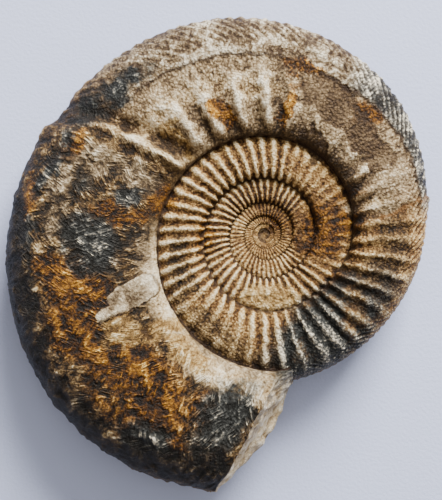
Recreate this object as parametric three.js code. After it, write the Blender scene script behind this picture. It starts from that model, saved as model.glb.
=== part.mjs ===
// Ammonite fossil: an evolute, ribbed planispiral shell turned to stone, lying on its side.
// Millimetres, +Z up. The coiling axis is close to Z, the broken mouth is towards -Y, and the
// origin is at the middle of the bounding box's bottom face.
import * as THREE from 'three';

// ---- Coiling -------------------------------------------------------------------------------
const GROWTH = 1.74;              // size ratio of each turn to the turn before it
const STATION = 45;               // degrees between the stations listed in the next two tables
// Radius of the umbilical seam in the last turn, at 0, 45 ... 315 degrees round the coiling axis.
const SEAM_RADIUS = [27.8, 29.9, 31.2, 31.8, 33.8, 38.2, 42.6, 43.8];
// Venter radius over seam radius, from 180 degrees before the last turn's zero onwards. The
// stone is slightly squashed out of round, so the ratio swells on the far side from the mouth.
const VENTER_START = -180;
const VENTER_RATIO = [2.05, 1.98, 1.93, 1.9, 1.83, 2.03, 2.22, 2.36, 2.45, 2.265, 1.93, 1.84];

// ---- Whorl section -------------------------------------------------------------------------
const MOUTH = 281;                // angle of the broken mouth at the seam
const MOUTH_HALF_BREADTH = 18.4;  // half of the shell's thickness at the mouth
const CREST = 0.4;                // widest point of the section, as a share of its height
const WALL_POWER = 2.4;           // squareness of the umbilical shoulder
const FLANK_POWER = 2.3;          // squareness of the flank and venter

// ---- Lie on the table ----------------------------------------------------------------------
const AXIS_HEIGHT = 14.9;         // height of the median plane at the coiling axis
const TILT = 0.038;               // rise of the median plane towards the thick end
const TILT_TOWARDS = 255;         // direction of the thick end, degrees

// ---- Surface relief ------------------------------------------------------------------------
const RIBS_PER_TURN = 48;
const RIB_RELIEF = 0.036;         // crest to mid-height of a rib, as a share of half-breadth
const RIBS_END = 150;             // the ribs fade out where the smooth body chamber begins
const RIBS_FADE = 25;
const GROOVE_ANGLE = 133;         // the constriction, at the seam
const GROOVE_SWEEP = 16.3;        // how far it leans forward on its way to the venter
const GROOVE_WIDTH = 3.2;
const GROOVE_DEPTH = 1.7;

// ---- Broken mouth --------------------------------------------------------------------------
const BREAK_REACH = 60;           // length of body chamber over which rows lean to the break
const BREAK_SWEEP = 22.5;         // the break runs back by this angle from seam to venter
const BREAK_CURVE_TOP = 0.45;     // its upper edge is worn back near the umbilicus
const BREAK_CURVE_BOTTOM = 0.8;
const BREAK_BULGE = 4.6;          // bow of the break's front at the median plane

// ---- Mesh ----------------------------------------------------------------------------------
const TURNS = 4;
const STEPS_PER_TURN = 2 * RIBS_PER_TURN;   // one row on each crest and one in each trough
const INNER_ROWS = 3;             // rows from the seam to where the next whorl covers the flank
const OUTER_ROWS = 5;             // rows from there to the venter, on the last turn only
const BREAK_ROWS = 2;             // rows across each half of the broken mouth

const DEG = Math.PI / 180;
const TURN = 360;

// Smooth curve through equally spaced values; `at` counts in stations and may be a fraction.
function through(value, at) {
  const i = Math.floor(at);
  const f = at - i;
  const [a, b, c, d] = [value(i - 1), value(i), value(i + 1), value(i + 2)];
  const bend = 2 * a - 5 * b + 4 * c - d;
  const twist = 3 * (b - c) + d - a;
  return b + 0.5 * f * (c - a + f * (bend + f * twist));
}

function seamRadius(angle) {
  const growth = Math.log(GROWTH) / TURN;
  const count = SEAM_RADIUS.length;
  const shape = (i) => {
    const j = ((i % count) + count) % count;
    return Math.log(SEAM_RADIUS[j]) - growth * j * STATION;
  };
  return Math.exp(through(shape, angle / STATION) + growth * angle);
}

function venterRadius(angle) {
  const last = VENTER_RATIO.length - 1;
  const ratio = (i) => VENTER_RATIO[Math.min(Math.max(i, 0), last)];
  return seamRadius(angle) * through(ratio, (angle - VENTER_START) / STATION);
}

function halfBreadth(angle) {
  return MOUTH_HALF_BREADTH * GROWTH ** ((angle - MOUTH) / TURN);
}

// Where the next whorl covers the flank. On the last turn nothing covers it, and the row there
// drifts in to the middle of the flank.
function coverEdge(angle) {
  const covered = Math.min(angle, MOUTH - TURN);
  const seam = seamRadius(covered);
  const edge = (seamRadius(covered + TURN) - seam) / (venterRadius(covered) - seam);
  const drift = THREE.MathUtils.smoothstep(angle, MOUTH - TURN, MOUTH - TURN / 2);
  return THREE.MathUtils.lerp(edge, 0.5, drift);
}

function quarter(t, power) {
  return (1 - Math.min(Math.max(t, 0), 1) ** power) ** (1 / power);
}

// Radius and height above the median plane of the whorl section; across is 0 at the seam and
// 1 at the venter.
function section(angle, across) {
  const seam = seamRadius(angle);
  const breadth = halfBreadth(angle);
  const radius = seam + across * (venterRadius(angle) - seam);
  if (across >= CREST) {
    return [radius, breadth * quarter((across - CREST) / (1 - CREST), FLANK_POWER)];
  }
  const before = angle - TURN;
  const foot = halfBreadth(before) * quarter((coverEdge(before) - CREST) / (1 - CREST), FLANK_POWER);
  return [radius, foot + (breadth - foot) * quarter(1 - across / CREST, WALL_POWER)];
}

function relief(angle, across) {
  const rib = Math.cos((angle - MOUTH) * DEG * RIBS_PER_TURN);
  const ribsLeft = 1 - THREE.MathUtils.smoothstep(angle, RIBS_END - RIBS_FADE, RIBS_END);
  const overVenter = 1 - across ** 4;
  const ribHeight = RIB_RELIEF * halfBreadth(angle) * rib * ribsLeft * overVenter;
  const fromGroove = (angle - GROOVE_ANGLE - GROOVE_SWEEP * across) / GROOVE_WIDTH;
  return ribHeight - GROOVE_DEPTH * Math.exp(-fromGroove * fromGroove);
}

function medianHeight(x, y) {
  const direction = TILT_TOWARDS * DEG;
  return AXIS_HEIGHT + TILT * (x * Math.cos(direction) + y * Math.sin(direction));
}

// Near the mouth each row leans back, so that the last one follows the broken edge.
function leaned(angle, across, side) {
  const start = MOUTH - BREAK_REACH;
  if (angle <= start) return angle;
  const curve = side > 0 ? BREAK_CURVE_TOP : BREAK_CURVE_BOTTOM;
  const share = (angle - start) / BREAK_REACH;
  return angle - share * BREAK_SWEEP * across ** curve;
}

// A point of the surface. side is 1 on top and -1 underneath, where the part that would sink
// below the table is worn flat.
function surfacePoint(angle, across, side) {
  const turned = leaned(angle, across, side);
  const nudge = 0.01;
  const [r0, h0] = section(turned, Math.max(across - nudge, 0));
  const [r1, h1] = section(turned, Math.min(across + nudge, 1));
  const length = Math.hypot(r1 - r0, h1 - h0);
  const [radius, height] = section(turned, across);
  const lift = relief(turned, across);
  const out = across === 1 ? 1 : (h0 - h1) / length;
  const up = across === 1 ? 0 : (r1 - r0) / length;
  const r = radius + lift * out;
  const x = r * Math.cos(turned * DEG);
  const y = r * Math.sin(turned * DEG);
  const z = medianHeight(x, y) + side * (height + lift * up);
  return new THREE.Vector3(x, y, Math.max(z, 0));
}

// ---- Build ---------------------------------------------------------------------------------
const points = [];
const triangles = [];

function addPoint(point) {
  points.push(point);
  return points.length - 1;
}

function addTriangle(a, b, c, side) {
  if (a === b || b === c || c === a) return;
  if (side > 0) triangles.push(a, b, c);
  else triangles.push(a, c, b);
}

// Quads between two rows of equal length, facing up for side 1 when the second row is further
// round the spiral than the first.
function addStrip(first, second, side) {
  for (let j = 0; j + 1 < first.length; j++) {
    addTriangle(first[j], first[j + 1], second[j + 1], side);
    addTriangle(first[j], second[j + 1], second[j], side);
  }
}

const steps = TURNS * STEPS_PER_TURN;
const firstAngle = MOUTH - TURNS * TURN;
const angleOf = (i) => firstAngle + (i * TURN) / STEPS_PER_TURN;

// The row along the median plane, where the top and underside meet.
const venter = [];
for (let i = steps - STEPS_PER_TURN; i <= steps; i++) {
  venter.push(addPoint(surfacePoint(angleOf(i), 1, 1)));
}

// The front of the break on the median plane, from the inner whorl's venter to the last one.
const breakFront = [venter[0]];
const innerEnd = points[venter[0]];
const chord = points[venter[STEPS_PER_TURN]].clone().sub(innerEnd);
const outward = new THREE.Vector3(-chord.y, chord.x, 0).normalize();
for (let j = 1; j < INNER_ROWS; j++) {
  const share = j / INNER_ROWS;
  const bow = BREAK_BULGE * Math.sin(Math.PI * share);
  const onChord = innerEnd.clone().addScaledVector(chord, share);
  breakFront.push(addPoint(onChord.addScaledVector(outward, bow)));
}
breakFront.push(venter[STEPS_PER_TURN]);

for (const side of [1, -1]) {
  const rows = [];
  for (let i = 0; i <= steps; i++) {
    const angle = angleOf(i);
    const edge = coverEdge(angle);
    const row = [];
    for (let j = 0; j <= INNER_ROWS; j++) {
      const onEarlierWhorl = j === 0 && i >= STEPS_PER_TURN;
      if (onEarlierWhorl) {
        row.push(rows[i - STEPS_PER_TURN][INNER_ROWS]);
      } else {
        row.push(addPoint(surfacePoint(angle, edge * (j / INNER_ROWS) ** 1.3, side)));
      }
    }
    const uncovered = i - (steps - STEPS_PER_TURN);
    for (let j = 1; uncovered >= 0 && j < OUTER_ROWS; j++) {
      const share = Math.sin((Math.PI / 2) * (j / OUTER_ROWS));
      row.push(addPoint(surfacePoint(angle, edge + (1 - edge) * share, side)));
    }
    if (uncovered >= 0) row.push(venter[uncovered]);
    rows.push(row);
  }
  for (let i = 0; i < steps; i++) {
    const width = Math.min(rows[i].length, rows[i + 1].length);
    addStrip(rows[i].slice(0, width), rows[i + 1].slice(0, width), side);
  }

  // The middle of the coil is closed round a single point.
  const rim = [];
  for (let i = 0; i <= STEPS_PER_TURN; i++) rim.push(rows[i][0]);
  for (let j = INNER_ROWS - 1; j > 0; j--) rim.push(rows[0][j]);
  const middle = rim.reduce((sum, k) => sum.add(points[k]), new THREE.Vector3());
  const hub = addPoint(middle.divideScalar(rim.length));
  rim.forEach((k, n) => addTriangle(hub, k, rim[(n + 1) % rim.length], side));

  // Half of the broken mouth, from the whorl's last row to the inner whorl and the break's front.
  const lip = rows[steps];
  const back = rows[steps - STEPS_PER_TURN].slice(INNER_ROWS, -1).concat(breakFront);
  let before = lip;
  for (let k = 1; k <= BREAK_ROWS; k++) {
    const next = back.map((target, j) => {
      if (k === BREAK_ROWS || target === lip[j]) return target;
      return addPoint(points[lip[j]].clone().lerp(points[target], k / BREAK_ROWS));
    });
    addStrip(before, next, side);
    before = next;
  }
}

const geometry = new THREE.BufferGeometry().setFromPoints(points);
geometry.setIndex(triangles);
geometry.computeBoundingBox();
const { min, max } = geometry.boundingBox;
geometry.translate(-(min.x + max.x) / 2, -(min.y + max.y) / 2, -min.z);
geometry.computeVertexNormals();

const stone = new THREE.MeshStandardMaterial({ color: 0x8a7a62, roughness: 0.75, metalness: 0 });
const ammonite = new THREE.Mesh(geometry, stone);
ammonite.name = 'ammonite';

const group = new THREE.Group();
group.add(ammonite);
export default group;
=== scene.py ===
"""A coiled, ribbed ammonite turned to stone, lying on its side on a sheet of pale paper."""
import math

import bpy
import numpy as np
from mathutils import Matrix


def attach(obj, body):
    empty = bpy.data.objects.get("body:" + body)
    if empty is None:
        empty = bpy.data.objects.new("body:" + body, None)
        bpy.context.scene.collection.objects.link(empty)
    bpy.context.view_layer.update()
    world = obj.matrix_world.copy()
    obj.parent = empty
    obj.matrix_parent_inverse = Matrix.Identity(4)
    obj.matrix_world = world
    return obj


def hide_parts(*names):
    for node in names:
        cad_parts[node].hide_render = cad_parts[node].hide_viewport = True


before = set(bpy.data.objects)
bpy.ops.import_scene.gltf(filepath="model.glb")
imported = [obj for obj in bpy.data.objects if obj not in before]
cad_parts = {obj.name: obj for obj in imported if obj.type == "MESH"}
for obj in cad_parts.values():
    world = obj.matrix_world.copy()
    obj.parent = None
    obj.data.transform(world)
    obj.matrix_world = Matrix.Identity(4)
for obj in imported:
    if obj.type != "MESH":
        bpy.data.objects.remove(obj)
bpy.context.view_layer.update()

MM = 0.001

# ---- Camera ---------------------------------------------------------------------------------
# It hangs over the fossil, a little under 40 cm up, and looks straight down at it. The frame
# takes in the whole coil with a narrow margin, a little wider on the right and at the foot.
EYE_HEIGHT = 380 * MM
SHARP_HEIGHT = 18 * MM                # the coil's median plane, where the view is measured
VIEW_HEIGHT = 160.5 * MM
SENSOR = 24                           # millimetres of sensor, as Blender counts them

lens = bpy.data.cameras.new("camera")
lens.sensor_fit = "VERTICAL"
lens.sensor_height = SENSOR
lens.lens = SENSOR * (EYE_HEIGHT - SHARP_HEIGHT) / VIEW_HEIGHT
camera = bpy.data.objects.new("camera", lens)
camera.location = (1.6 * MM, 1.0 * MM, EYE_HEIGHT)
bpy.context.collection.objects.link(camera)
bpy.context.scene.camera = camera


# ---- Light ----------------------------------------------------------------------------------
# A broad window light comes in low from the far right, and a pale room fills the shadows.
def area_light(name, place, size, power, colour):
    """A square light at a place in metres, turned to face the fossil."""
    data = bpy.data.lights.new(name, "AREA")
    data.size = size
    data.energy = power
    data.color = colour
    light = bpy.data.objects.new(name, data)
    light.location = place
    bpy.context.collection.objects.link(light)
    light.rotation_euler = (-light.location).to_track_quat("-Z", "Y").to_euler()


area_light("window", (0.43, 1.02, 0.70), 0.62, 58.0, (1.0, 0.975, 0.93))
area_light("ceiling", (0.2, 0.3, 1.4), 1.2, 6.0, (0.97, 0.97, 1.0))

room = bpy.data.worlds.new("room")
room.use_nodes = True
room.node_tree.nodes["Background"].inputs["Color"].default_value = (1.00, 0.90, 0.77, 1)
room.node_tree.nodes["Background"].inputs["Strength"].default_value = 0.34
bpy.context.scene.world = room


# ---- Paper ----------------------------------------------------------------------------------
# A sheet of pale, faintly violet paper with a soft tooth, wide enough to fill any view.
class Wire:
    """A node's output that sums, products and comparisons can be written with."""

    def __init__(self, tree, socket):
        self.tree = tree
        self.socket = socket

    def node(self, kind, settings, sockets, output=0):
        """Any node: its settings are set first, then its sockets, and one output comes back."""
        made = self.tree.nodes.new(kind)
        for name, value in settings.items():
            if name == "stops":
                ramp = made.color_ramp.elements
                while len(ramp) < len(value):
                    ramp.new(1.0)
                for stop, (place, colour) in zip(ramp, value):
                    stop.position = place
                    stop.color = (*colour, 1)
            else:
                setattr(made, name, value)
        for name, value in sockets.items():
            socket = made.inputs[name] if isinstance(name, int) else find_socket(made.inputs, name)
            if isinstance(value, Wire):
                self.tree.links.new(value.socket, socket)
            else:
                socket.default_value = value
        if isinstance(output, int):
            return Wire(self.tree, made.outputs[output])
        return Wire(self.tree, find_socket(made.outputs, output))

    def maths(self, operation, *values):
        sockets = dict(enumerate(values))
        return self.node("ShaderNodeMath", {"operation": operation}, sockets)

    def __add__(self, other):
        return self.maths("ADD", self, other)

    def __sub__(self, other):
        return self.maths("SUBTRACT", self, other)

    def __mul__(self, other):
        return self.maths("MULTIPLY", self, other)

    def __truediv__(self, other):
        return self.maths("DIVIDE", self, other)

    def __pow__(self, other):
        return self.maths("POWER", self, other)

    def __rsub__(self, other):
        return self.maths("SUBTRACT", other, self)

    def __rtruediv__(self, other):
        return self.maths("DIVIDE", other, self)

    def __rpow__(self, other):
        return self.maths("POWER", other, self)

    __radd__ = __add__
    __rmul__ = __mul__

    def ease(self, low, high):
        """0 below low and 1 above high, with a smooth turn between; low may be the larger."""
        sockets = {"Value": self, "From Min": low, "From Max": high}
        return self.node("ShaderNodeMapRange", {"interpolation_type": "SMOOTHSTEP"}, sockets)

    def least(self, other):
        return self.maths("MINIMUM", self, other)

    def most(self, other):
        return self.maths("MAXIMUM", self, other)

    def bell(self, width):
        """1 where the value is 0, falling away on both sides over about width."""
        share = self / width
        return 2.718 ** (-1 * share * share)


def find_socket(sockets, name):
    """The socket with this identifier or, failing that, this name."""
    for socket in sockets:
        if socket.identifier == name:
            return socket
    return sockets[name]


def vector_of(x, y, z):
    """A vector from its parts; x is a wire, and y and z may be numbers."""
    return x.node("ShaderNodeCombineXYZ", {}, {0: x, 1: y, 2: z})


def noise(place, scale, detail=3.0, roughness=0.55, distortion=0.0):
    """Cloudy noise from 0 to 1 with its middle at 0.5."""
    sockets = {
        "Vector": place,
        "Scale": scale,
        "Detail": detail,
        "Roughness": roughness,
        "Distortion": distortion,
    }
    return place.node("ShaderNodeTexNoise", {}, sockets)


def blend(factor, first, second):
    """The first colour where factor is 0, the second where it is 1."""
    sockets = {"Factor_Float": factor, "A_Color": first, "B_Color": second}
    return factor.node("ShaderNodeMix", {"data_type": "RGBA"}, sockets, "Result_Color")


def colour(red, green, blue):
    """An opaque colour."""
    return (red, green, blue, 1)


def new_material(name):
    """A material with its shader, and a wire to start its nodes from."""
    material = bpy.data.materials.new(name)
    material.use_nodes = True
    tree = material.node_tree
    shader = tree.nodes["Principled BSDF"]
    return material, shader, Wire(tree, shader.outputs[0])


def feed(shader, name, wire):
    """Joins a wire to one of the shader's sockets."""
    wire.tree.links.new(wire.socket, shader.inputs[name])


def bump(height, distance):
    """A normal pushed in and out by a height from 0 to about 1, over a distance in metres."""
    return height.node("ShaderNodeBump", {}, {"Height": height, "Distance": distance})


PAPER_HALF = 1.2

paper_mesh = bpy.data.meshes.new("paper")
corners = [(-PAPER_HALF, -PAPER_HALF), (PAPER_HALF, -PAPER_HALF)]
corners += [(PAPER_HALF, PAPER_HALF), (-PAPER_HALF, PAPER_HALF)]
paper_mesh.from_pydata([(x, y, -0.05 * MM) for x, y in corners], [], [(0, 1, 2, 3)])
paper = bpy.data.objects.new("paper", paper_mesh)
bpy.context.collection.objects.link(paper)

paper_look, paper_shader, start = new_material("paper")
place = start.node("ShaderNodeTexCoord", {}, {}, "Object")
tooth = noise(place, 900.0, 4.0)
cloud = noise(place, 9.0, 2.0)
feed(paper_shader, "Base Color", blend(cloud, colour(0.53, 0.60, 0.86), colour(0.57, 0.64, 0.92)))
feed(paper_shader, "Normal", bump(tooth, 0.15 * MM))
paper_shader.inputs["Roughness"].default_value = 0.85
paper_mesh.materials.append(paper_look)


# ---- Fossil: the coil's smooth form -----------------------------------------------------------
# The shell is a tube that coils in one plane and grows by the same ratio each turn. Each whorl
# rests on the flank of the one before it, so a spiral strip of rows, joined to itself along the
# seam, covers the whole side. The two sides meet along the venter, the shell's outer edge.
GROWTH = 1.74                         # size ratio of each turn to the turn before it
TURN = 360.0
STATION = 45.0                        # degrees between the stations in the next two lists
SEAM_RADIUS = np.array([27.8, 29.9, 31.2, 31.8, 33.8, 38.2, 42.6, 43.8])   # from 0 degrees, mm
VENTER_START = -180.0
VENTER_RATIO = np.array([2.05, 1.98, 1.93, 1.9, 1.83, 2.03, 2.22, 2.36, 2.45, 2.265, 1.93, 1.84])
MOUTH = 281.0                         # angle of the broken mouth at the seam
MOUTH_HALF_BREADTH = 18.4             # mm
CREST = 0.4                           # widest point of the section, as a share of its height
WALL_POWER = 2.4                      # squareness of the umbilical shoulder
FLANK_POWER = 2.3                     # squareness of the flank and venter
AXIS_HEIGHT = 14.9                    # height of the median plane at the coiling axis, mm
TILT = 0.038                          # its rise towards the thick end
TILT_TOWARDS = math.radians(255)
BREAK_REACH = 60.0                    # degrees of body chamber that lean back to the break
BREAK_SWEEP = 22.5                    # how far the break runs back from seam to venter
BREAK_CURVE = {1: 0.45, -1: 0.8}      # how early it does so, on top and underneath
BREAK_BULGE = 4.6                     # bow of the break's front, mm
TURNS = 6
# Columns in each turn from the middle out, on top and underneath. A turn has as many as the turn
# inside it, or twice as many.
COLUMNS = {1: [80, 160, 160, 320, 320, 640], -1: [40, 80, 80, 160, 160, 320]}
INNER_ROWS = 21                       # rows from the seam to the next whorl's seam
INNER_CROWDING = 1.3                  # how much closer they stand near the seam
LAST_INNER_ROW = 0.36                 # where the same row ends up on the bare last turn
OUTER_ROWS = {1: 48, -1: 34}          # rows from there to the venter, on the last turn
BREAK_ROWS = 20
BREAK_GAP = 30.0                      # distance to a seam that the break's vertices are given, mm


def through(values, at):
    """A smooth curve through equally spaced values, which is read at a fraction of a station."""
    low = np.floor(at).astype(int)
    f = at - low
    a, b, c, d = (values(low + k) for k in (-1, 0, 1, 2))
    return b + 0.5 * f * (c - a + f * (2 * a - 5 * b + 4 * c - d + f * (3 * (b - c) + d - a)))


def seam_radius(angle):
    growth = math.log(GROWTH) / TURN
    count = len(SEAM_RADIUS)
    shape = np.log(SEAM_RADIUS) - growth * STATION * np.arange(count)
    return np.exp(through(lambda i: shape[i % count], angle / STATION) + growth * angle)


def venter_radius(angle):
    last = len(VENTER_RATIO) - 1
    ratio = through(lambda i: VENTER_RATIO[np.clip(i, 0, last)], (angle - VENTER_START) / STATION)
    return seam_radius(angle) * ratio


def half_breadth(angle):
    return MOUTH_HALF_BREADTH * GROWTH ** ((angle - MOUTH) / TURN)


def cover_edge(angle):
    """Where the next whorl covers the flank; on the last turn, a row that drifts inwards."""
    covered = np.minimum(angle, MOUTH - TURN)
    seam = seam_radius(covered)
    edge = (seam_radius(covered + TURN) - seam) / (venter_radius(covered) - seam)
    share = np.clip((angle - MOUTH + TURN) / (TURN / 2), 0, 1)
    drift = share * share * (3 - 2 * share)
    return edge + drift * (LAST_INNER_ROW - edge)


def quarter(t, power):
    return (1 - np.clip(t, 0, 1) ** power) ** (1 / power)


def section(angle, across):
    """Radius and half-thickness of the whorl; across is 0 at the seam and 1 at the venter."""
    seam = seam_radius(angle)
    breadth = half_breadth(angle)
    radius = seam + across * (venter_radius(angle) - seam)
    flank = breadth * quarter((across - CREST) / (1 - CREST), FLANK_POWER)
    before = angle - TURN
    covered = quarter((cover_edge(before) - CREST) / (1 - CREST), FLANK_POWER)
    foot = half_breadth(before) * covered
    wall = foot + (breadth - foot) * quarter(1 - across / CREST, WALL_POWER)
    return radius, np.where(across >= CREST, flank, wall)


def leaned(angle, across, side):
    """Rows near the mouth lean back, so that the last one follows the broken edge."""
    share = np.clip((angle - MOUTH + BREAK_REACH) / BREAK_REACH, 0, None)
    return angle - share * BREAK_SWEEP * across ** BREAK_CURVE[side]


def surface(angle, across, side):
    """Vertices as rows of x, y, z, turn angle, share across, side, gap to the seam and break."""
    turned = leaned(angle, across, side)
    radius, height = section(turned, across)
    x = radius * np.cos(np.radians(turned))
    y = radius * np.sin(np.radians(turned))
    rise = x * math.cos(TILT_TOWARDS) + y * math.sin(TILT_TOWARDS)
    z = AXIS_HEIGHT + TILT * rise + side * height
    gap = radius - seam_radius(turned)
    covered = seam_radius(turned + TURN) - radius
    gap = np.where(angle <= MOUTH - TURN, np.minimum(gap, covered), gap)
    same = np.zeros_like(x)
    return np.stack([x, y, z, turned, across + same, side + same, gap, same], axis=-1)


blocks = []
quads = []
triangles = []


def add_vertices(block):
    """Adds an array of vertices and returns their numbers in the same arrangement."""
    start = sum(len(earlier) for earlier in blocks)
    shape = block.shape[:-1]
    blocks.append(block.reshape(-1, block.shape[-1]))
    return start + np.arange(len(blocks[-1])).reshape(shape)


def facing(corners, side):
    """Stacks corners into faces that point up on the top side and down underneath."""
    ring = corners if side > 0 else corners[::-1]
    return np.stack(ring, axis=-1).reshape(-1, len(ring))


def add_faces(rows, side):
    """Faces between rows of vertices, where a row may have twice the columns of the row before."""
    for inner, outer in zip(rows, rows[1:]):
        if len(inner) == len(outer):
            quads.append(facing([inner[:-1], outer[:-1], outer[1:], inner[1:]], side))
            continue
        between = outer[1::2]
        triangles.append(facing([inner[:-1], outer[:-1:2], between], side))
        triangles.append(facing([inner[:-1], between, inner[1:]], side))
        triangles.append(facing([inner[1:], between, outer[2::2]], side))


def turn_angles(turn, count):
    return MOUTH + (turn - TURNS) * TURN + TURN * np.arange(count + 1) / count


last_turn = turn_angles(TURNS - 1, COLUMNS[1][-1])
venter = add_vertices(surface(last_turn, np.ones(len(last_turn)), 1))

# The front of the break runs on the median plane, from the inner whorl's venter to the last one.
share = np.linspace(0, 1, INNER_ROWS + 1)[1:-1, None]
first_end, last_end = blocks[0][0], blocks[0][-1]
chord = last_end - first_end
outward = np.array([-chord[1], chord[0], 0]) / np.hypot(chord[0], chord[1])
front = first_end + chord * share
front[:, :3] += outward * BREAK_BULGE * np.sin(math.pi * share)
front[:, 3:] = (MOUTH, 1, 1, BREAK_GAP, 1)
break_front = np.concatenate([venter[:1], add_vertices(front), venter[-1:]])

for side in (1, -1):
    # The seam is one spiral line of vertices, cut here into turns. One more turn of it follows the
    # row on the last whorl that the next whorl would cover.
    columns = COLUMNS[side]
    seams = []
    for turn in range(TURNS + 1):
        angles = turn_angles(turn, columns[min(turn, TURNS - 1)])
        under = angles - TURN * min(turn, 1)
        line = surface(under, cover_edge(under) * min(turn, 1), side)
        seams.append(add_vertices(line if turn == TURNS else line[:-1]))
    for turn in range(TURNS):
        seams[turn] = np.concatenate([seams[turn], seams[turn + 1][:1]])

    # Each turn's strip fills the space from its own length of seam to the next.
    strips = []
    for turn, count in enumerate(columns):
        angles = turn_angles(turn, count)[:, None]
        across = cover_edge(angles) * (np.arange(1, INNER_ROWS) / INNER_ROWS) ** INNER_CROWDING
        strip = surface(angles, across, side)
        strips.append(add_vertices(strip if turn == TURNS - 1 else strip[:-1]))
    for turn in range(TURNS - 1):
        strips[turn] = np.concatenate([strips[turn], strips[turn + 1][:1]])
    for turn in range(TURNS):
        add_faces([seams[turn], *strips[turn].T, seams[turn + 1]], side)

    # The last turn goes on from there out to the venter.
    share = np.sin(math.pi / 2 * np.arange(1, OUTER_ROWS[side]) / OUTER_ROWS[side])
    angles = turn_angles(TURNS - 1, columns[-1])[:, None]
    bare = cover_edge(angles)
    flank = add_vertices(surface(angles, bare + (1 - bare) * share, side))
    add_faces([seams[TURNS], *flank.T, venter], side)

    # The middle of the coil closes round a single point.
    rim = np.concatenate([seams[0], strips[0][0, ::-1]])
    middle = np.concatenate(blocks)[rim].mean(axis=0)
    hub = add_vertices(middle[None, :])
    triangles.append(facing([np.repeat(hub, len(rim)), rim, np.roll(rim, -1)], side))

    # Each half of the broken mouth spans from the last column to the inner whorl and the front.
    lip = [seams[TURNS][:1], strips[-1][-1], seams[TURNS][-1:], flank[-1], venter[-1:]]
    lip = np.concatenate(lip)
    back = np.concatenate([seams[TURNS][:1], flank[0], break_front])
    every = np.concatenate(blocks)
    share = (np.arange(1, BREAK_ROWS) / BREAK_ROWS)[:, None, None]
    face = every[lip][1:-1] * (1 - share) + every[back][1:-1] * share
    face[..., 3:] = (MOUTH, 1, side, BREAK_GAP, 1)
    face = np.concatenate([lip[None, 1:-1], add_vertices(face), back[None, 1:-1]])
    add_faces(face.T, side)
    near = np.full(BREAK_ROWS, lip[0])
    far = np.full(BREAK_ROWS, lip[-1])
    triangles.append(facing([near, face[:-1, 0], face[1:, 0]], side))
    triangles.append(facing([face[:-1, -1], far, face[1:, -1]], side))

table = np.concatenate(blocks)
faces = np.concatenate(quads).tolist() + np.concatenate(triangles).tolist()
low, high = table[:, :3].min(axis=0), table[:, :3].max(axis=0)
coil_axis = -(low + high) / 2         # where the coiling axis stands in the part's frame, mm
table[:, 0] += coil_axis[0]
table[:, 1] += coil_axis[1]

form_mesh = bpy.data.meshes.new("ammonite_form")
form_mesh.from_pydata((table[:, :3] * MM).tolist(), [], faces)
for name, values in zip(("turn_angle", "across", "side", "seam_gap", "broken"), table[:, 3:].T):
    layer = form_mesh.attributes.new(name, "FLOAT", "POINT")
    layer.data.foreach_set("value", values.astype(np.float32))
form = bpy.data.objects.new("ammonite_form", form_mesh)
bpy.context.collection.objects.link(form)


# ---- Fossil: relief ---------------------------------------------------------------------------
# Ribs cross each whorl from the seam, and each splits into fine ribs that lean forward over the
# venter. The body chamber is smooth under a frilled, weathered skin. A constriction with a ridge
# after it marks a pause in growth, and a second layer of shell survives along the outer edge.
relief = bpy.data.node_groups.new("shell_relief", "GeometryNodeTree")
relief.interface.new_socket("Shell", in_out="INPUT", socket_type="NodeSocketGeometry")
relief.interface.new_socket("Shell", in_out="OUTPUT", socket_type="NodeSocketGeometry")
KNOBS = {
    "Ribs per turn": 46.4,
    "Rib height": 0.066,              # a share of the whorl's half-breadth
    "Fine ribs per rib": 2.5,
    "Fine rib height": 0.017,
    "Groove depth": 2.6,              # mm, as the rest
    "Ridge height": 1.6,
    "Plate thickness": 0.60,
    "Frill height": 0.50,
    "Chip height": 0.55,
    "Lump height": 1.5,
    "Grain height": 0.30,
}
RIBS_SPREAD_FROM = -40.0              # the ribs stand further apart from this angle onwards
RIB_SPREAD = 0.00145                  # half the share of ribs lost with each further degree
CHAMBER_START = (128.0, 158.0)        # the ribs fade out over these angles
GROOVE_ANGLE = 133.0                  # the constriction, at the seam
GROOVE_SWEEP = 16.3                   # how far it leans forward on its way to the venter
GROOVE_WIDTH = 3.4
RIDGE_ANGLE = 141.5
RIDGE_SWEEP = 7.5
RIDGE_WIDTH = 2.1
SECOND_RIDGE_ANGLE = 149.0
SECOND_RIDGE_SWEEP = 5.0
SECOND_RIDGE_WIDTH = 2.2
SECOND_RIDGE_HEIGHT = 0.6             # mm
LAYER_START = (6.0, 14.0)             # the outer layer of shell begins over these angles
LAYER_END = (140.0, 128.0)
STRIPES_END = (66.0, 56.0)            # its grey, striped part ends here
SWELL_HEIGHT = 1.5                    # mm, as the rest
CRUST_HEIGHT = 0.8
RUBBLE_HEIGHT = 2.6
RUBBLE_CHIP_HEIGHT = 0.9
KNOT_HEIGHT = 1.7
STANDING_CHIP_HEIGHT = 0.6
SCAR_DEPTH = 0.45
LEVEL_STEPS = 14                      # smoothing that gives the level which crests rise above

knob_ids = {}
for name in KNOBS:
    knob = relief.interface.new_socket(name, in_out="INPUT", socket_type="NodeSocketFloat")
    knob_ids[name] = knob.identifier
group_in = relief.nodes.new("NodeGroupInput")
group_out = relief.nodes.new("NodeGroupOutput")
knobs = {name: Wire(relief, group_in.outputs[name]) for name in KNOBS}
shell = Wire(relief, group_in.outputs["Shell"])


def stored(start, name):
    """A number kept on the mesh, read in a geometry tree."""
    kind = "GeometryNodeInputNamedAttribute"
    return start.node(kind, {"data_type": "FLOAT"}, {"Name": name}, "Attribute")


def keep(geometry, name, value):
    """The same mesh with a number stored on its points."""
    settings = {"data_type": "FLOAT", "domain": "POINT"}
    sockets = {"Geometry": geometry, "Name": name, "Value": value}
    return geometry.node("GeometryNodeStoreNamedAttribute", settings, sockets)


def scaled(vector, factor):
    return vector.node("ShaderNodeVectorMath", {"operation": "SCALE"}, {0: vector, "Scale": factor})


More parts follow.
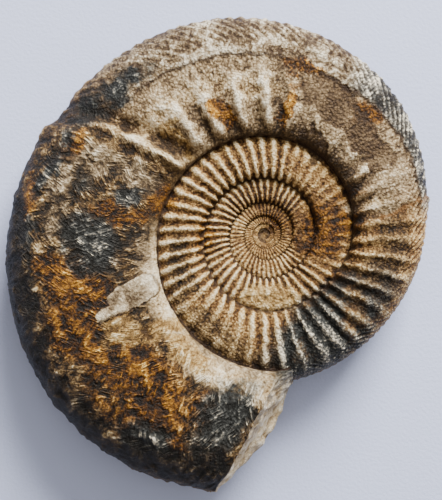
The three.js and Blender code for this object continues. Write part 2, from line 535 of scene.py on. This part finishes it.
def split(vector):
    """The x, y and z of a vector."""
    return [vector.node("ShaderNodeSeparateXYZ", {}, {0: vector}, axis) for axis in range(3)]


def turned_to(x, y, centre_x, centre_y, long, short, turned):
    """Squared places along and beside an oval's long way, both 1 at its edge. Lengths in mm."""
    c, s = math.cos(math.radians(turned)), math.sin(math.radians(turned))
    along = ((x - centre_x) * c + (y - centre_y) * s) / long
    beside = ((y - centre_y) * c - (x - centre_x) * s) / short
    return along * along, beside * beside


def reach(x, y, places):
    """How far out a place lies on the nearest of some squarish chips: 1 at their edges."""
    total = None
    for spec in places:
        along, beside = turned_to(x, y, *spec)
        found = along * along + beside * beside
        total = found if total is None else total.least(found)
    return total


def ovals(x, y, places):
    """1 in the middle of soft ovals, 0 outside all of them."""
    total = None
    for spec in places:
        along, beside = turned_to(x, y, *spec)
        oval = (along + beside).ease(1.5, 0.5)
        total = oval if total is None else total.most(oval)
    return total


def rib_wave(angle, across, side, count):
    """The ribs as a wave, 1 on a crest and -1 in a trough."""
    wobble = noise(vector_of(angle * 0.02, across * 0.6, side * 9), 1.0, 2.0) - 0.5
    nicks = noise(vector_of(angle * 0.16, across * 9, side * 5), 1.0, 3.0) - 0.5
    late = (angle - RIBS_SPREAD_FROM).most(0.0)
    spread = angle - late * late * RIB_SPREAD
    phase = (spread - MOUTH + wobble * 10 + nicks * 3.2 - across * 3) * count * math.radians(1)
    return phase.maths("COSINE", phase)


def strokes(angle, radius, swirl, width, length):
    """Short thin crests, 1 along their tops, that run outwards and lean one way or the other."""
    rank = []
    for lean, start in ((0.80, 0.0), (-0.30, 31.0)):
        beside = (angle * 1.05 + (radius + (swirl - 0.5) * 24) * lean) / width
        along = (radius + swirl * 10) / length + start
        spot = vector_of(beside + start, along, 0.0)
        settings = {"voronoi_dimensions": "2D", "feature": "F1"}
        sockets = {"Vector": spot, "Scale": 1.0}
        away = spot.node("ShaderNodeTexVoronoi", settings, sockets, "Distance")
        luck = Wire(spot.tree, away.socket.node.outputs["Color"])
        rank.append(away.ease(0.50, 0.06) * (luck * 1.5 + 0.05))
    drift = noise(vector_of(angle * 0.16, radius * 0.16, 4.0), 1.0, 3.0)
    share = drift.ease(0.47, 0.53)
    return rank[0] * (1 - share) + rank[1] * share


def facets(place, scale):
    """Chipped stone: 1 in the middle of each chip and about 0 in the cracks between."""
    sockets = {"Vector": place, "Scale": scale}
    away = place.node("ShaderNodeTexVoronoi", {"feature": "F1"}, sockets, "Distance")
    return 1 - away * 1.25


def jostled(x, y, place, scale, detail, roughness, distance):
    """x and y, each pushed about by noise at a place by half the distance at most."""
    place_x, place_y, place_z = split(place)
    push_x = noise(place, scale, detail, roughness) - 0.5
    push_y = noise(vector_of(place_y, place_z, place_x), scale, detail, roughness) - 0.5
    return x + push_x * distance, y + push_y * distance


# Where the ribs are worn down, and where sediment crusts over them. Each of these ovals has its
# middle in x and y, half its length, half its width, all in mm, and the degrees it is turned by.
WORN = [
    (0.0, -24.0, 16.0, 7.0, -40),
    (36.0, 10.0, 8.0, 17.0, -8),
    (28.0, 25.0, 8.0, 5.0, -50),
    (34.0, 35.0, 14.0, 8.0, -55),
    (54.0, 18.0, 5.0, 8.0, 8),
]
CRUSTED = [
    (30.0, 7.0, 6.5, 10.0, 0),
    (17.0, -15.0, 10.0, 4.5, 2),
]
# Chips of pale shell which still stand on the fossil, and scars where chips came off.
CHIPS = [
    (-25.8, -12.6, 7.6, 3.9, 29),
    (-33.6, -18.6, 3.2, 1.7, 34),
    (32.2, 64.2, 3.6, 2.0, -25),
    (38.8, 59.9, 1.9, 1.4, -30),
]
SCARS = [
    (36.0, 48.0, 9.0, 6.2, -44),
    (48.0, 35.0, 10.5, 4.6, -54),
    (31.0, 34.0, 6.0, 3.4, -60),
]

angle = stored(shell, "turn_angle")
across = stored(shell, "across")
side = stored(shell, "side")
gap = stored(shell, "seam_gap")
broken = stored(shell, "broken")
spot = shell.node("GeometryNodeInputPosition", {}, {})
spot_mm = scaled(spot, 1000.0)
x, y, z = split(spot_mm)
radius = ((x - coil_axis[0]) ** 2.0 + (y - coil_axis[1]) ** 2.0) ** 0.5
size = GROWTH ** ((angle - MOUTH) / TURN)
half = size * MOUTH_HALF_BREADTH
upper = side.ease(-0.1, 0.1)
ragged = noise(spot_mm, 0.35, 4.0, 0.6) - 0.5

# The body chamber starts where the ribs end. Ribs are long on the inner whorls and the start of
# the last one, and then short and blunt, only on the shoulder.
chamber = (angle + noise(spot_mm, 0.05) * 16 - 8).ease(*CHAMBER_START)
keen = 1.5 + (noise(vector_of(angle * 0.03, side, 2.0), 1.0, 1.0) - 0.5) * 4
rib = ((rib_wave(angle, across, side, knobs["Ribs per turn"]) + 1) / 2) ** keen * 2 - 0.76
uneven = 0.45 + noise(vector_of(angle * 0.11, across * 2, side * 5), 1.0, 2.0) * 1.1
long_ribs = angle.ease(44.0, 4.0)
blunt = across.ease(0.66, 0.24) * gap.ease(0.5, 5.0) * 1.35
faded = long_ribs * across.ease(1.02, 0.66) * (1 - angle.ease(-50.0, 10.0) * 0.35)
faded = faded + (1 - long_ribs) * blunt
crusted = ovals(x, y, CRUSTED) * upper
bold = (1 - ovals(x, y, WORN) * upper * 0.60) * (1 - crusted * 0.85)
ribs = rib * half * knobs["Rib height"] * uneven * faded * (1 - chamber * 0.94) * bold

# Fine ribs over the venter.
patchy = noise(spot_mm, 0.06, 2.0).ease(0.38, 0.60)
fine_zone = across.ease(0.66, 0.86) * (1 - chamber * 0.85) * (1 - broken) * (0.35 + patchy)
lead = (across - 0.60).most(0.0) * 48
fine_phase = (angle - lead + ragged * 1.2) * knobs["Ribs per turn"] * math.radians(1)
fine_wave = fine_phase.maths("COSINE", fine_phase * knobs["Fine ribs per rib"])
striped = angle.ease(*LAYER_START) * angle.ease(*STRIPES_END)
fine_zone = fine_zone * (1 + striped * 0.35)
fine_ribs = fine_wave * half * knobs["Fine rib height"] * fine_zone

# The constriction: a groove and two ridges after it.
past = angle + ragged * 3
groove = (past - GROOVE_ANGLE - across * GROOVE_SWEEP).bell(GROOVE_WIDTH)
groove = groove * knobs["Groove depth"] * across.ease(-0.05, 0.25)
ridge = (past - RIDGE_ANGLE - across * RIDGE_SWEEP).bell(RIDGE_WIDTH) * knobs["Ridge height"]
second_ridge = (past - SECOND_RIDGE_ANGLE - across * SECOND_RIDGE_SWEEP).bell(SECOND_RIDGE_WIDTH)
ridge = ridge + second_ridge * SECOND_RIDGE_HEIGHT
pause = (ridge * gap.ease(-1.0, 4.0) - groove) * gap.ease(-1.0, 3.0)

# The second layer of shell, outside a wavering edge.
layer_edge = 0.66 + angle.ease(70.0, 5.0) * 0.22 + ragged * 0.14
layered = angle.ease(*LAYER_START) * angle.ease(*LAYER_END)
past_edge = across - layer_edge
plate = past_edge.ease(-0.008, 0.012) * layered * knobs["Plate thickness"]
step = angle.ease(14.5, 12.5) * angle.ease(-40.0, -10.0) * across.ease(0.80, 1.0) * 0.9

# The frilled skin, and chipped stone where the skin is gone.
frill = strokes(angle, radius, noise(spot_mm, 0.04, 2.0), 1.7, 5.5)
bared = angle.ease(8.0, 30.0) * (1 - chamber) * across.ease(0.20, 0.45)
skin_zone = 0.12 + 0.88 * chamber.most(bared * 0.6)
frills = (frill - 0.35) * knobs["Frill height"] * skin_zone * size * gap.ease(0.0, 4.0)
chipped = noise(spot_mm, 0.07, 2.0).ease(0.46, 0.60) * (1 - chamber)
chip_zone = 0.25 + 0.75 * bared.most(chipped)
chips = (facets(spot_mm, 0.42) - 0.4) * knobs["Chip height"] * chip_zone * (0.3 + 0.7 * size)

# The pale chips stand on the surface, and the scars are sunk in it. Both are smoother than the
# rest.
worn_x, worn_y = jostled(x, y, spot_mm, 0.35, 4.0, 0.6, 1.6)
standing = reach(worn_x, worn_y, CHIPS).ease(1.20, 0.90) * upper
bite_x, bite_y = jostled(worn_x, worn_y, spot_mm, 0.20, 3.0, 0.55, 9.0)
scarred = reach(bite_x, bite_y, SCARS).ease(1.20, 0.90) * upper
calm = 1 - 0.85 * standing.most(scarred)

# Each inner whorl swells between its seams, and sediment crusts over parts of them. The break is
# rubbly, and the body chamber has broad knots.
swell = (0.5 - (gap / size).bell(3.4)) * size * angle.ease(MOUTH - TURN + 10, MOUTH - TURN - 10)
crust = crusted * (noise(spot_mm, 0.45, 4.0, 0.7) * 2.6 - 0.7)
lumps = (noise(spot_mm, 0.09, 3.0) - 0.5) * knobs["Lump height"] * size
grain = (noise(spot_mm, 0.7, 5.0, 0.65) - 0.5) * knobs["Grain height"] * (0.4 + 0.6 * size)
rubble = (noise(spot_mm, 0.16, 4.0, 0.6) - 0.5) * RUBBLE_HEIGHT
rubble = (rubble + (facets(spot_mm, 0.30) - 0.5) * RUBBLE_CHIP_HEIGHT) * broken
knots = (noise(spot_mm, 0.20, 2.0) - 0.5) * KNOT_HEIGHT * chamber * gap.ease(2.0, 12.0)

detail = (ribs + frills + chips + fine_ribs) * calm + grain * (1 - 0.6 * standing)
height = detail + pause + plate + step + swell * SWELL_HEIGHT + crust * CRUST_HEIGHT + lumps
height = height + rubble + knots + standing * STANDING_CHIP_HEIGHT - scarred * SCAR_DEPTH
level = height.node("GeometryNodeBlurAttribute", {"data_type": "FLOAT"},
                    {"Value": height, "Iterations": LEVEL_STEPS}, "Value")

# What the stone's colours need to know is stored on the mesh, and then the surface is moved.
marked = keep(shell, "crest", height - level)
marked = keep(marked, "knots", knots)
marked = keep(marked, "bold", bold)
marked = keep(marked, "fine_wave", fine_wave)
marked = keep(marked, "chamber", chamber)
marked = keep(marked, "past_edge", past_edge)
marked = keep(marked, "layered", layered)
normal = shell.node("GeometryNodeInputNormal", {}, {})
raised = shell.node("GeometryNodeSetPosition", {},
                    {"Geometry": marked, "Offset": scaled(normal, height * MM)})

# Whatever would sink below the table is worn flat.
here = split(raised.node("GeometryNodeInputPosition", {}, {}))
worn = vector_of(here[0], here[1], here[2].most(0.0))
flattened = raised.node("GeometryNodeSetPosition", {}, {"Geometry": raised, "Position": worn})
realized = flattened.node("GeometryNodeRealizeInstances", {}, {"Geometry": flattened})


# ---- Fossil: stone --------------------------------------------------------------------------
# Cream limestone shows where the shell is worn through, brown in the hollows and pale on the
# crests, where the darker hollows are partly painted shade and the paler crests partly painted
# light. Rust from the mud stains the body chamber, and what is left of the shell is blue-grey.
# Each kind of surface is a list of colours from its hollows to its crests.
LIMESTONE = [
    (0.04, (0.024, 0.009, 0.002)),
    (0.28, (0.130, 0.058, 0.014)),
    (0.48, (0.340, 0.200, 0.068)),
    (0.68, (0.600, 0.420, 0.190)),
    (0.95, (0.900, 0.780, 0.540)),
]
WEATHERED = [
    (0.08, (0.005, 0.003, 0.001)),
    (0.28, (0.030, 0.015, 0.004)),
    (0.50, (0.120, 0.068, 0.024)),
    (0.72, (0.400, 0.275, 0.125)),
    (0.95, (0.880, 0.760, 0.530)),
]
RUSTY = [
    (0.08, (0.005, 0.002, 0.001)),
    (0.28, (0.045, 0.015, 0.001)),
    (0.52, (0.180, 0.070, 0.004)),
    (0.76, (0.460, 0.215, 0.022)),
    (1.00, (0.880, 0.640, 0.250)),
]
SLATE = [
    (0.14, (0.003, 0.003, 0.002)),
    (0.38, (0.014, 0.015, 0.014)),
    (0.58, (0.060, 0.062, 0.058)),
    (0.78, (0.280, 0.255, 0.205)),
    (0.95, (0.850, 0.770, 0.600)),
]
# Painted shade for the rim turned away from the light.
RIM_SHADE_DARK = [
    (0.20, (0.003, 0.002, 0.001)),
    (0.60, (0.012, 0.008, 0.005)),
    (0.82, (0.060, 0.040, 0.022)),
    (1.00, (0.300, 0.220, 0.130)),
]
SHELL = [
    (0.15, (0.040, 0.020, 0.007)),
    (0.36, (0.150, 0.098, 0.046)),
    (0.58, (0.330, 0.260, 0.165)),
    (0.86, (0.760, 0.690, 0.550)),
]
FLAKE = [
    (0.15, (0.085, 0.052, 0.024)),
    (0.38, (0.260, 0.195, 0.115)),
    (0.60, (0.460, 0.375, 0.250)),
    (0.88, (0.880, 0.810, 0.640)),
]
FADED = [
    (0.05, (0.030, 0.014, 0.005)),
    (0.40, (0.105, 0.062, 0.027)),
    (0.70, (0.220, 0.145, 0.074)),
    (0.98, (0.520, 0.400, 0.250)),
]
SAND = [
    (0.10, (0.060, 0.028, 0.006)),
    (0.36, (0.260, 0.150, 0.045)),
    (0.60, (0.520, 0.360, 0.150)),
    (0.90, (0.860, 0.720, 0.460)),
]
BEIGE = [
    (0.06, (0.032, 0.018, 0.008)),
    (0.28, (0.120, 0.078, 0.038)),
    (0.48, (0.300, 0.222, 0.128)),
    (0.68, (0.530, 0.425, 0.280)),
    (0.95, (0.860, 0.780, 0.610)),
]
CREAM = [
    (0.10, (0.090, 0.045, 0.015)),
    (0.34, (0.420, 0.290, 0.140)),
    (0.54, (0.700, 0.560, 0.350)),
    (0.85, (0.950, 0.880, 0.720)),
]
UMBER = colour(0.030, 0.013, 0.005)
DEEP_RUST = colour(0.16, 0.065, 0.010)
SHEEN = 0.3                           # how strongly the stone's surface reflects
BUMP_DEPTH = 0.75 * MM
FAULT_ANGLE = 4.0                     # the rusty crack, at the seam
FAULT_WIDTH = 0.9

stone, stone_shader, start = new_material("fossil_stone")


def mark(start, name):
    """A number kept on the mesh, read in a material."""
    return start.node("ShaderNodeAttribute", {"attribute_name": name}, {}, "Fac")


place = start.node("ShaderNodeTexCoord", {}, {}, "Object")
place = start.node("ShaderNodeVectorMath", {"operation": "SCALE"}, {0: place, "Scale": 1000.0})
x, y, z = split(place)
from_axis_x = x - coil_axis[0]
from_axis_y = y - coil_axis[1]
radius = (from_axis_x ** 2.0 + from_axis_y ** 2.0) ** 0.5
crest = mark(start, "crest")
knots = mark(start, "knots")
bold = mark(start, "bold")
fine_wave = mark(start, "fine_wave")
chamber = mark(start, "chamber")
gap = mark(start, "seam_gap")
broken = mark(start, "broken")
past_edge = mark(start, "past_edge")
layered = mark(start, "layered")
turn_angle = mark(start, "turn_angle")
across = mark(start, "across")
side = mark(start, "side")
upper = side.ease(-0.1, 0.1)

# A place that runs round the coil in x and y and outwards in z, for marks that follow the whorl.
round_x = from_axis_x / radius * 30
round_y = from_axis_y / radius * 30
whorl_place = vector_of(round_x, round_y, radius * 0.35 + z * 0.1)

fine = noise(place, 1.3, 6.0, 0.7)
cloud = noise(place, 0.10, 4.0, 0.6)
drawn = noise(whorl_place, 1.0, 5.0, 0.65, 1.0)
chip = facets(place, 1.1)
warp_x, warp_y = jostled(x, y, place, 0.14, 5.0, 0.65, 15.0)
near_x, near_y = jostled(x, y, place, 0.35, 4.0, 0.6, 2.2)
bite_x, bite_y = jostled(near_x, near_y, place, 0.20, 3.0, 0.55, 9.0)


def patches(places):
    """Ragged ovals of one kind of surface."""
    return ovals(warp_x, warp_y, places)


def kind(tone, stops):
    """The colour of one kind of surface, from its tone."""
    return tone.node("ShaderNodeValToRGB", {"stops": stops}, {"Fac": tone}, "Color")


# The chips and scars again, and the marks of the frilled skin.
stroke = strokes(turn_angle, radius, noise(place, 0.04, 2.0), 1.05, 4.6)
chip_reach = reach(near_x, near_y, CHIPS)
chips = chip_reach.ease(1.15, 0.90) * upper
chip_rims = (chip_reach - 1.35).bell(0.28) * upper
scars = reach(bite_x, bite_y, SCARS).ease(1.15, 0.90) * upper
frilled = (0.15 + 0.85 * chamber) * noise(place, 0.22, 2.0).ease(0.30, 0.55)
frilled = frilled * (1 - chips * 0.85) * across.ease(1.0, 0.80) * gap.ease(1.0, 8.0)
wave = rib_wave(turn_angle, across, side, KNOBS["Ribs per turn"])
ribbed = (1 - chamber) * turn_angle.ease(40.0, 0.0)
hewn_x = turn_angle * 1.3 + radius * 0.5
hewn = noise(vector_of(hewn_x, radius * 0.42, side * 5), 0.75, 4.0, 0.65, 0.6)

# The tone runs from 0 in a hollow to 1 on a crest, which puts painted shade in the relief's
# hollows and painted light on its crests. Grain, blotches and chips vary it, less so on the small
# inner whorls, where the ribs themselves count for more.
size = GROWTH ** ((turn_angle - MOUTH) / TURN)
small = size.ease(0.50, 0.25)
coarse = 1 - small * 0.35
# Painted shade and painted light: the tone follows how far the relief stands above its level.
tone = 0.48 + crest * (0.55 + small * 0.25)
tone = tone + (fine - 0.5) * (1.6 - chamber * 0.5) * coarse + (cloud - 0.5) * 0.5
tone = tone + (drawn - 0.5) * 0.6 * coarse
tone = tone + (chip - 0.4) * 0.34 * (1 - chamber * 0.4) * coarse
tone = tone + wave * ribbed * bold * (0.03 + small * 0.06) - small * 0.03
tone = tone + (noise(place, 0.25, 4.0, 0.6) - 0.5) * small * 0.7

# The flank between the ribbed part and the body chamber is bare, torn stone with blunt ribs.
blunt_zone = turn_angle.ease(0.0, 35.0) * (1 - chamber) * across.ease(0.66, 0.30)
tone = tone + (wave * bold * 0.10 + 0.01) * blunt_zone
torn = noise(vector_of(x, y, z + 40), 0.16, 6.0, 0.7) - 0.5
bare_zone = turn_angle.ease(0.0, 20.0) * (1 - chamber)
tone = tone + torn * bare_zone * 0.8 - turn_angle.ease(-30.0, 10.0) * 0.05
tone = tone + (hewn - 0.5) * bare_zone * 0.7 - (fine - 0.5) * bare_zone * 0.5

# The skin of the body chamber is frilled and knotted, and the break is granular. The frill
# strokes and the tops of the knots are painted paler, as painted highlights.
tone = tone + (stroke * 0.30 + (hewn - 0.5) * 1.1) * frilled - chamber * 0.13 * (1 - chips)
tone = tone + knots * 0.30 + (noise(place, 0.22, 3.0) - 0.5) * 0.75 * chamber
tone = tone + ((facets(place, 0.7) - 0.4) * 0.5 - (cloud - 0.5) * 0.5) * broken

# Painted shade darkens some of the inner whorls, the foot of the last one and parts of its rim.
# Painted shade on parts of the inner whorls.
inner_whorl_shade = patches([
    (33, 8, 9, 13, 0),
    (24, 11, 8, 7, 0),
    (14, 15, 10, 6, 0),
    (37, 24, 6, 8, 30),
])
# Painted shade on the last whorl near its seam, where its wall stands over the whorl inside.
foot = gap.ease(6.0, 0.5) * turn_angle.ease(-75.0, -50.0) * turn_angle.ease(150.0, 100.0)
# Painted shade on parts of the rim.
rim_shade = patches([
    (-38, 49, 16, 6, 42),
    (41, 44, 10, 7, -48),
    (48, 33, 8, 5, -60),
])
tone = tone - inner_whorl_shade * 0.14 - foot * 0.26 - rim_shade * 0.12
tone = tone + (0.50 - tone) * broken * 0.45
tint = blend(bare_zone * 0.85, kind(tone, LIMESTONE), kind(tone, BEIGE))
tint = blend(chamber, tint, kind(tone, WEATHERED))

# The outer layer of shell, with a dark line along its edge.
outer = past_edge.ease(-0.01, 0.02) * layered
tone = tone + (cloud - 0.5) * outer * 1.2 + (drawn - 0.5) * outer * 0.6
tone = tone + outer * turn_angle.ease(80.0, 55.0) * 0.09
tint = blend(outer * 0.9, tint, kind(tone, SHELL))
crack = past_edge.bell(0.012) * layered

# The wall of the body chamber keeps a skin of cream sediment down to the seam, which is also
# painted brighter as painted light where the wall faces the lamp; the break is of the same cream.
wall = (gap - turn_angle.ease(225.0, 245.0) * 4).ease(7.5, 3.0) * turn_angle.ease(176.0, 200.0)
wall = wall * (cloud + fine * 0.4).ease(0.48, 0.66)
wall = wall.most(gap.ease(3.5, 1.5) * turn_angle.ease(170.0, 190.0)).most(broken * 0.9)
# Painted light: the wall's tone is raised where it faces the lamp.
tone = tone + wall * chamber * 0.18
tint = blend(wall, tint, kind(tone, CREAM))

# Stains and remnants, and painted shade on the lower-left rim. Each is a list of ovals that broad
# noise makes ragged.
rusty = patches([
    (-45, -10, 13, 8, -35),
    (-36, -14, 9, 5, -35),
    (-42, -23, 12, 10, -60),
    (-24, -42, 20, 13, -50),
    (-5, -49, 6, 4, 70),
    (-20, -56, 15, 5, -25),
    (-17, 17, 6, 3, 60),
    (-27, 11, 6, 2.5, 15),
    (-34, 14, 6, 2.5, 10),
    (-59, 17, 8, 2.5, 80),
    (-45, 33, 6, 4, 50),
    (2, 43, 3, 6, 15),
    (23, 46, 9, 2.5, 65),
    (26, 59, 7, 2.5, -20),
    (48, 44, 6, 4, -45),
    (19.5, 12, 6, 3, -25),
    (33, 7, 7, 11, 0),
    (-3, 5, 2.5, 8, 0),
    (38, -9, 4, 5, -30),
    (42, 12, 5, 10, -20),
    (57, 12, 3, 6, 20),
])
tint = blend(rusty * (cloud + fine * 0.3).ease(0.42, 0.62), tint, kind(tone, RUSTY))

pale = patches([
    (-17, 43, 12, 4.5, 35),
    (-3, 51, 9, 4, 12),
    (12, 53, 9, 3.5, 0),
    (50, 15, 9, 3, 5),
])
tone = tone + pale * 0.05
tint = blend(pale * (cloud + fine * 0.4).ease(0.44, 0.70) * 0.85, tint, kind(tone, CREAM))
stippled = patches([
    (-1, -26, 15, 6, -38),
    (12, -34, 9, 4, -10),
    (56, 6, 12, 5, 95),
    (52, -8, 14, 7, 60),
    (-11, -5, 4, 12, 10),
])
tone = tone - stippled * 0.06
tint = blend(stippled * 0.8, tint, kind(tone, WEATHERED))

dusty = patches([
    (-49, 18, 12, 3.5, 75),
    (-40, 27, 9, 6, 20),
    (-24, 24, 8, 4, -35),
    (-23, 2, 3, 7, 5),
])
tint = blend(dusty * (cloud + fine * 0.4).ease(0.46, 0.70), tint, kind(tone, BEIGE))

sandy = patches([
    (-12, 35.5, 7, 2.5, -48),
    (-29, -25, 7, 3, 15),
    (17, -14, 10, 4, 0),
    (-30, -22, 5, 3, 0),
    (-16, -23, 9, 3, 20),
    (-9, -31, 8, 3.5, -40),
])
tint = blend(sandy * (cloud + fine * 0.3).ease(0.40, 0.60), tint, kind(tone, SAND))

slaty = patches([
    (-39, 3, 11, 9, -45),
    (-42, 22, 4, 3, 0),
    (-28, 18, 5, 3, 0),
    (-51, 29, 13, 3, 60),
    (-60, 6, 6, 3, 90),
    (-36, 48, 11, 6, 38),
    (-25, 57, 6, 4, 30),
    (36, -24, 26, 13, 40),
    (3, -50, 14, 8, 50),
    (-22, -57, 9, 6, -20),
])
banded = outer * turn_angle.ease(*LAYER_START) * turn_angle.ease(*STRIPES_END)
tone = tone + fine_wave * (outer * 0.06 - banded * 0.02) + (drawn - 0.5) * banded * 0.5
slaty = (slaty * (cloud + fine * 0.5).ease(0.50, 0.78)).most(banded * (0.40 + fine))
tint = blend(slaty, tint, kind(tone, SLATE))

# Painted shade, near black, along the lower-left rim, the side turned away from the light.
lower_rim_shade = patches([
    (-62, -8, 34, 5, 95),
    (-52, -46, 32, 8, 130),
    (-12, -66, 30, 6, 168),
])
# The painted shade stops raggedly at about the median plane.
above = (z + (cloud - 0.5) * 26 + (fine - 0.5) * 6).ease(7.0, 13.0)
tint = blend(lower_rim_shade * above * (1 - broken) * 0.90, tint, kind(tone, RIM_SHADE_DARK))

# The scars, the chips, a rusty crack across the whorl, and dark lines along the seams: brown
# sediment with painted shade in the creases where the whorls meet.
tone = tone - scars * 0.06
tint = blend(scars * 0.85, tint, kind(tone, FADED))
tone = tone - chips * 0.05 + (noise(place, 0.5, 3.0) - 0.5) * chips * 0.6
tint = blend(chips * 0.90, tint, kind(tone, FLAKE))
fault = (turn_angle - FAULT_ANGLE - across * 10 + (cloud - 0.5) * 8).bell(FAULT_WIDTH)
fault = fault * across.ease(0.25, 0.4) * turn_angle.ease(30.0, 20.0)
tint = blend(fault * 0.75, tint, DEEP_RUST)
# Painted shade, with brown sediment, in the creases along the seams.
seam = (gap / size).ease(1.5, 0.3) * turn_angle.ease(190.0, 175.0)
tint = blend(seam.most(crack).most(chip_rims * 0.8) * 0.85, tint, UMBER)

stone_shader.inputs["Specular IOR Level"].default_value = SHEEN
feed(stone_shader, "Base Color", tint)
feed(stone_shader, "Roughness", 0.36 + 0.40 * fine)
pitting = fine * 1.1 + (stroke * 0.7 + hewn * 0.9) * frilled
pitting = pitting + chip * (1 - chamber * 0.5) * 0.6
feed(stone_shader, "Normal", bump(pitting, BUMP_DEPTH))

last = realized.node("GeometryNodeSetMaterial", {}, {"Geometry": realized, "Material": stone})
relief.links.new(last.socket, group_out.inputs["Shell"])

modifier = form.modifiers.new("shell_relief", "NODES")
modifier.node_group = relief
for name, identifier in knob_ids.items():
    modifier[identifier] = KNOBS[name]
depsgraph = bpy.context.evaluated_depsgraph_get()
ammonite_mesh = bpy.data.meshes.new_from_object(form.evaluated_get(depsgraph))
ammonite_mesh.name = "ammonite_stone"
bpy.data.objects.remove(form)

ammonite = bpy.data.objects.new("ammonite_stone", ammonite_mesh)
bpy.context.collection.objects.link(ammonite)

for face in ammonite_mesh.polygons:
    face.use_smooth = True

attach(ammonite, "root")
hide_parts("ammonite")
